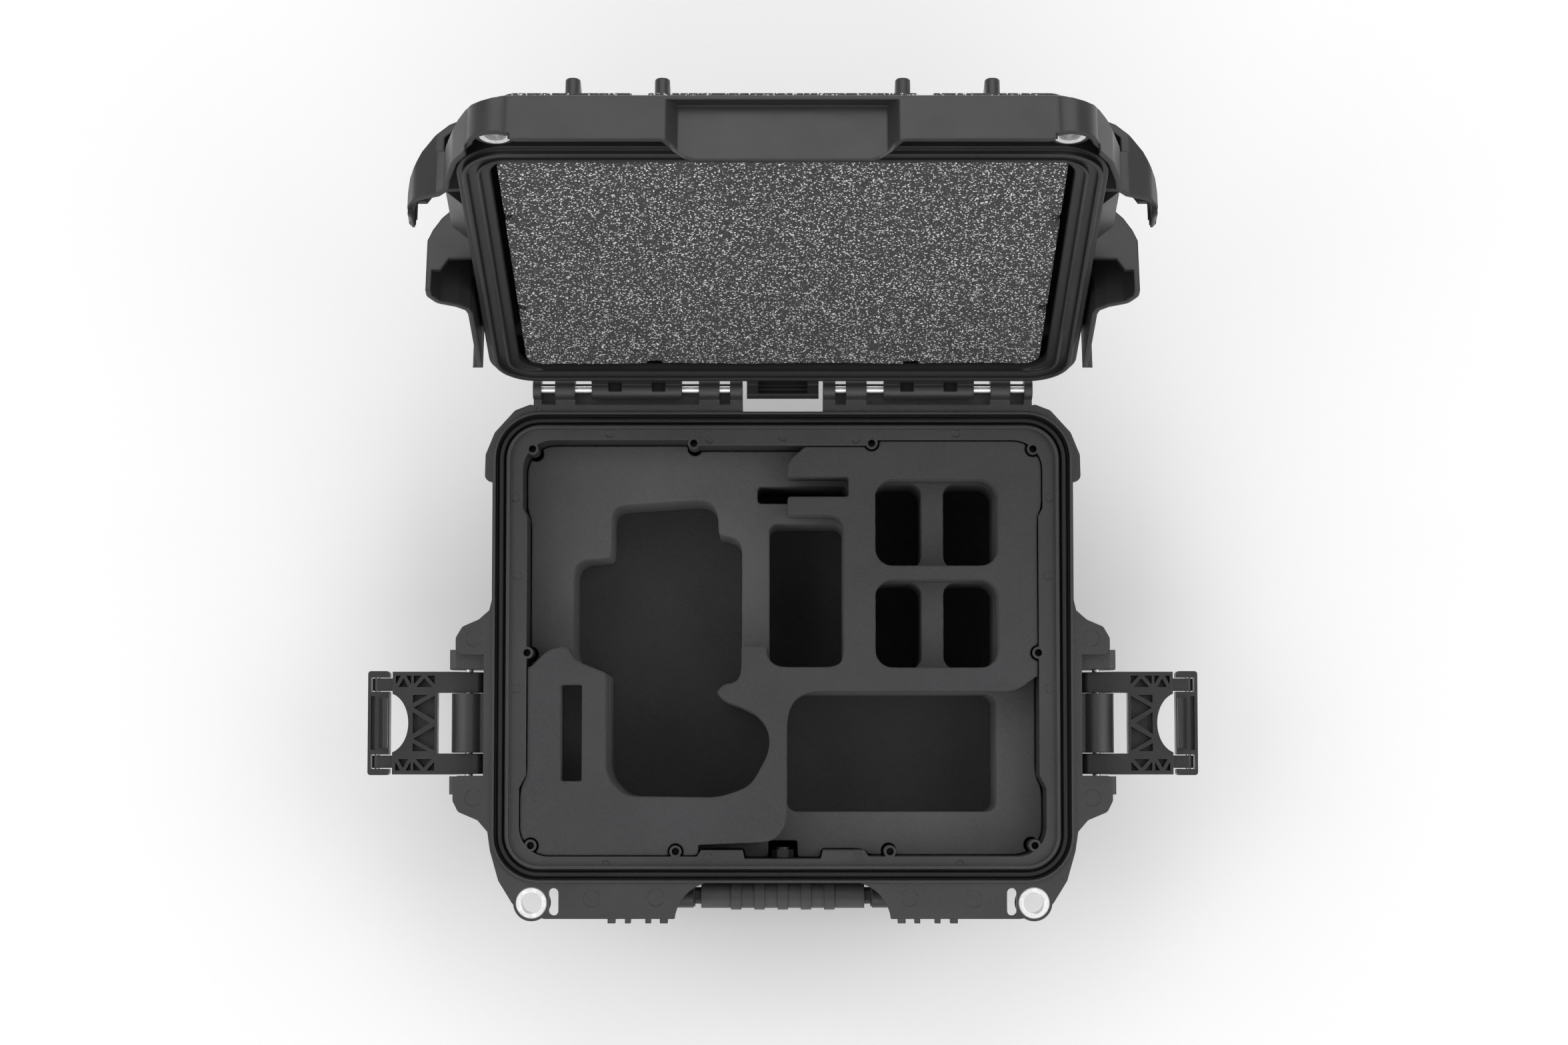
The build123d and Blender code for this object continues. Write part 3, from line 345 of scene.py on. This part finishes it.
def triangles_in_material(points, triangles, loops):
    """Those triangles whose centre lies inside an odd number of the outlines."""
    points = np.array([tuple(point) for point in points])
    triangles = np.array(triangles)
    centres = points[triangles].mean(axis=1)
    inside = np.zeros(len(triangles), bool)
    for loop in loops:
        for start, end in zip(loop, loop[1:] + loop[:1]):
            if start.y != end.y:
                crosses = (start.y > centres[:, 1]) != (end.y > centres[:, 1])
                along = (centres[:, 1] - start.y) / (end.y - start.y)
                inside ^= crosses & (centres[:, 0] < start.x + along * (end.x - start.x))
    return triangles[inside].tolist()


def foam_block(name, node_name, edge, grid, rim_step, swell, fine, placed=SAME_PLACE, upward=True):
    """A cut foam block: rounded cut edges, walls with faint cutting lines, a gently uneven face.

    edge is the rounding of the visible face's edge; grid and rim_step are the face's point spacings;
    swell and fine are the heights of slow and of close unevenness."""
    loops, level = outline_loops(node_name, placed, upward)
    if not upward:
        loops = [list(reversed([p.copy() for p in loop])) for loop in loops]
    loops = [resampled(softened(loop), rim_step) for loop in loops]
    heights = [(placed @ vertex.co).z for vertex in nodes[node_name].data.vertices]
    depth = (level - min(heights)) if upward else (max(heights) - level)
    sign = 1 if upward else -1

    # rings down the wall: the rounded edge first, then straight steps
    rings = []
    for turn in range(EDGE_STEPS + 1):
        angle = math.pi / 2 * turn / EDGE_STEPS
        rings.append((edge * (1 - math.sin(angle)), edge * (1 - math.cos(angle))))
    wall_steps = max(2, round((depth - edge) / WALL_STEP))
    rings += [(0.0, edge + (depth - edge) * step / wall_steps) for step in range(1, wall_steps + 1)]

    verts, faces = [], []
    rim_loops = []
    for loop in loops:
        normals = inward_normals(loop)
        starts = []
        for inset, down in rings:
            starts.append(len(verts))
            for point, normal in zip(loop, normals):
                cut = ripple(point.x, point.y, down * 0.15, *CUT_MARKS) if 0 < down < depth else 0
                spot = point + normal * (inset + cut)
                verts.append((spot.x, spot.y, level - sign * down))
        count = len(loop)
        for upper, lower in zip(starts, starts[1:]):
            for index in range(count):
                after = (index + 1) % count
                quad = (upper + index, lower + index, lower + after, upper + after)
                faces.append(quad if upward else quad[::-1])
        rim_loops.append((starts[0], starts[-1], count))

    # the two flat faces: a constrained triangulation, with a grid of free points on the visible one
    for which, free_points in ((0, True), (1, False)):
        flat, edges, source, rims = [], [], [], []
        for top_start, low_start, count in rim_loops:
            first = len(flat)
            start = (top_start, low_start)[which]
            source += list(range(start, start + count))
            flat += [Vector(verts[start + index][:2]) for index in range(count)]
            rims.append(flat[first:])
            edges += [(first + index, first + (index + 1) % count) for index in range(count)]
        rim_count = len(flat)
        if free_points:
            xs, ys = [p.x for p in flat], [p.y for p in flat]
            steps_x, steps_y = (int((max(v) - min(v)) / grid) for v in (xs, ys))
            for i in range(1, steps_x):
                for j in range(1, steps_y):
                    jitter = Vector((RNG.uniform(-JITTER, JITTER), RNG.uniform(-JITTER, JITTER))) * grid
                    flat.append(Vector((min(xs) + i * grid, min(ys) + j * grid)) + jitter)
        out_verts, _, triangles, origin, _, _ = delaunay_2d_cdt(flat, edges, [], 0, 1e-7)
        triangles = triangles_in_material(out_verts, triangles, rims)
        mapped = {}
        height = level if which == 0 else level - sign * depth
        for index, (point, came_from) in enumerate(zip(out_verts, origin)):
            rim_source = [c for c in came_from if c < rim_count]
            if rim_source:
                mapped[index] = source[rim_source[0]]
        for triangle in triangles:
            corner_ids = []
            for index in triangle:
                if index not in mapped:
                    mapped[index] = len(verts)
                    spot = out_verts[index]
                    verts.append((spot.x, spot.y, height))
                corner_ids.append(mapped[index])
            faces.append(tuple(corner_ids) if (which == 0) == upward else tuple(corner_ids[::-1]))

    lifted = []
    for x, y, z in verts:
        near = max(0.0, 1 - abs(z - level) / edge)
        rise = ripple(x, y, 0, swell, *SWELL_PATTERN) + ripple(x, y, 0, fine, *FINE_PATTERN)
        rise -= (swell + fine) / 2
        lifted.append(Vector((x, y, z + sign * near * rise)))
    back = placed.inverted()
    mesh = bpy.data.meshes.new(name)
    mesh.from_pydata([back @ point for point in lifted], [], faces)
    mesh.validate()
    mesh.polygons.foreach_set("use_smooth", [True] * len(mesh.polygons))
    piece = bpy.data.objects.new(name, mesh)
    bpy.context.scene.collection.objects.link(piece)
    return piece


def stand_in(piece, node_name, body, slot):
    dress(piece, slot)
    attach(piece, body)
    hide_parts(node_name)


for node_name, slot, edge in (
    ("foam_bottom_sheet", "foam_floor", 0.5 * MM),
    ("foam_mid_layer", "foam_mid", 0.7 * MM),
    ("foam_top_layer", "foam_top", 0.8 * MM),
):
    layer = foam_block(
        node_name + "_cut", node_name, edge, grid=4 * MM, rim_step=2 * MM, swell=0.30 * MM, fine=0.10 * MM
    )
    stand_in(layer, node_name, "base", slot)

pad = foam_block(
    "lid_foam_pad", "lid_foam", 1.6 * MM, grid=1.6 * MM, rim_step=1.6 * MM, swell=0.8 * MM, fine=0.5 * MM,
    placed=CLOSE_LID, upward=False,
)
stand_in(pad, "lid_foam", "lid", "foam_lid")


# ---------------- floor, light and camera ----------------
FLOOR_HALF = 3.0
WORLD_STRENGTH = 0.50
SOFT_BOX = 2.2
LIGHT_AIM = Vector((0, 0.05, 0.1))


def studio():
    floor_mesh = bpy.data.meshes.new("floor")
    ends = (-FLOOR_HALF, FLOOR_HALF)
    corners = [(ends[i], ends[j], 0) for i, j in ((0, 0), (1, 0), (1, 1), (0, 1))]
    floor_mesh.from_pydata(corners, [], [(0, 1, 2, 3)])
    floor = bpy.data.objects.new("floor", floor_mesh)
    bpy.context.scene.collection.objects.link(floor)
    paper = Shader("paper", (0.81, 0.81, 0.81), 0.9, specular=0.1)
    paper.bump(paper.noise(700, 2), 0.00005)
    floor.data.materials.append(paper.done())

    world = bpy.data.worlds.new("studio")
    world.use_nodes = True
    world.node_tree.nodes["Background"].inputs["Color"].default_value = (1, 1, 1, 1)
    world.node_tree.nodes["Background"].inputs["Strength"].default_value = WORLD_STRENGTH
    bpy.context.scene.world = world

    # four soft boxes round the case, with nothing straight above it
    for name, place, power in (
        ("left", (-1.7, 0.2, 1.9), 24),
        ("right", (1.7, 0.2, 1.9), 24),
        ("rear", (0.0, 2.1, 1.9), 24),
        ("front", (0.0, -1.9, 2.0), 22),
    ):
        lamp = bpy.data.lights.new(name, "AREA")
        lamp.energy = power
        lamp.size = SOFT_BOX
        light = bpy.data.objects.new(name, lamp)
        bpy.context.scene.collection.objects.link(light)
        light.location = place
        light.rotation_euler = (LIGHT_AIM - light.location).to_track_quat("-Z", "Y").to_euler()
    bpy.context.scene.view_settings.view_transform = "Standard"


def camera():
    tilt = math.radians(4.3)
    aim = Vector((0.0006, 0.0586, RIM))
    distance = 1.664
    data = bpy.data.cameras.new("camera")
    data.lens = 80.6
    data.sensor_width = 36
    eye = bpy.data.objects.new("camera", data)
    bpy.context.scene.collection.objects.link(eye)
    eye.location = aim - distance * Vector((0, math.sin(tilt), -math.cos(tilt)))
    eye.rotation_euler = (tilt, 0, 0)
    bpy.context.scene.camera = eye


studio()
camera()
